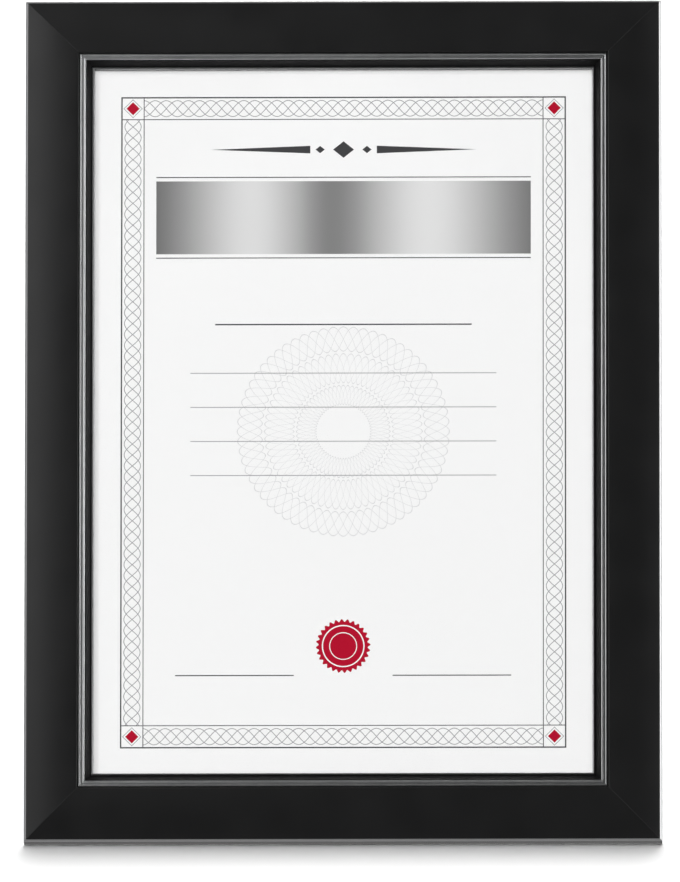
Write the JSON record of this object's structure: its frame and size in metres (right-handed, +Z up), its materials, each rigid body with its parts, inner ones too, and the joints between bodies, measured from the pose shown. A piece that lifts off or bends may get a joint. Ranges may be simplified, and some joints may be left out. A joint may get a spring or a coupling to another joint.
{
  "type": "picture frame",
  "caption": "Leaning document frame: mitred black moulding with fine silver beads, glass front, back panel under turn buttons, folding strut and wire ring hangers.",
  "frame": {"origin": "on the surface that the frame stands on, below the middle of the object's box with the strut open", "axes": "+X to the right for someone facing the picture, +Y from the picture's front to the strut behind it, +Z up"},
  "size_m": [0.258, 0.0944, 0.3391],
  "materials": {
    "moulding_black": "satin black plastic, with silver foil on the beads",
    "wedge_steel": "bare strip steel",
    "clear_glass": "clear polished glass",
    "sheet_paper": "smooth white paper with a printed certificate pattern",
    "card_grey": "grey board",
    "board_black": "fibreboard faced with black paper, with brown cut edges",
    "zinc_steel": "zinc-plated sheet steel",
    "bright_steel": "bright plated steel",
    "nickel_wire": "nickel-plated wire"
  },
  "bodies": {
    "frame": {"top_rail": "moulding_black", "bottom_rail": "moulding_black", "left_rail": "moulding_black", "right_rail": "moulding_black", "corner_wedges": "wedge_steel", "glass_pane": "clear_glass", "document_sheet": "sheet_paper", "backing_card": "card_grey", "back_panel": "board_black", "button_screws": "bright_steel", "panel_leaf": "zinc_steel", "panel_leaf_rivets": "bright_steel", "hinge_pin": "bright_steel", "upper_hanger_strap": "zinc_steel", "upper_hanger_rivet": "bright_steel", "side_hanger_strap": "zinc_steel", "side_hanger_rivet": "bright_steel"},
    "strut": {"strut_leaf": "zinc_steel", "strut_leg": "board_black", "strut_rivets": "bright_steel"},
    "turn_button_bottom_left": {"turn_button_bottom_left": "zinc_steel"},
    "turn_button_bottom_right": {"turn_button_bottom_right": "zinc_steel"},
    "turn_button_top_left": {"turn_button_top_left": "zinc_steel"},
    "turn_button_top_right": {"turn_button_top_right": "zinc_steel"},
    "turn_button_left_low": {"turn_button_left_low": "zinc_steel"},
    "turn_button_left_high": {"turn_button_left_high": "zinc_steel"},
    "turn_button_right_low": {"turn_button_right_low": "zinc_steel"},
    "turn_button_right_high": {"turn_button_right_high": "zinc_steel"},
    "upper_ring": {"upper_hanger_ring": "nickel_wire"},
    "side_ring": {"side_hanger_ring": "nickel_wire"}
  },
  "joints": [
    {"name": "strut_fold", "type": "hinge", "parent": "frame", "child": "strut", "pos_m": [0, 0.00863, 0.20986], "axis": [-1, 0, 0], "range_deg": [0, 22]},
    {"name": "turn_bottom_left", "type": "hinge", "parent": "frame", "child": "turn_button_bottom_left", "pos_m": [-0.06192, -0.03439, 0.01614], "axis": [0, 0.9781, -0.2079], "continuous": true},
    {"name": "turn_bottom_right", "type": "hinge", "parent": "frame", "child": "turn_button_bottom_right", "pos_m": [0.06192, -0.03439, 0.01614], "axis": [0, 0.9781, -0.2079], "continuous": true},
    {"name": "turn_top_left", "type": "hinge", "parent": "frame", "child": "turn_button_top_left", "pos_m": [-0.06192, 0.03048, 0.32132], "axis": [0, 0.9781, -0.2079], "continuous": true},
    {"name": "turn_top_right", "type": "hinge", "parent": "frame", "child": "turn_button_top_right", "pos_m": [0.06192, 0.03048, 0.32132], "axis": [0, 0.9781, -0.2079], "continuous": true},
    {"name": "turn_left_low", "type": "hinge", "parent": "frame", "child": "turn_button_left_low", "pos_m": [-0.1125, -0.0206, 0.08099], "axis": [0, 0.9781, -0.2079], "continuous": true},
    {"name": "turn_left_high", "type": "hinge", "parent": "frame", "child": "turn_button_left_high", "pos_m": [-0.1125, 0.0167, 0.25647], "axis": [0, 0.9781, -0.2079], "continuous": true},
    {"name": "turn_right_low", "type": "hinge", "parent": "frame", "child": "turn_button_right_low", "pos_m": [0.1125, -0.0206, 0.08099], "axis": [0, 0.9781, -0.2079], "continuous": true},
    {"name": "turn_right_high", "type": "hinge", "parent": "frame", "child": "turn_button_right_high", "pos_m": [0.1125, 0.0167, 0.25647], "axis": [0, 0.9781, -0.2079], "continuous": true},
    {"name": "upper_ring_swing", "type": "hinge", "parent": "frame", "child": "upper_ring", "pos_m": [0, 0.02522, 0.2933], "axis": [1, 0, 0], "range_deg": [-11, 168]},
    {"name": "side_ring_swing", "type": "hinge", "parent": "frame", "child": "side_ring", "pos_m": [0.088, -0.00129, 0.16859], "axis": [0, -0.2079, -0.9781], "range_deg": [-89, 90]}
  ]
}
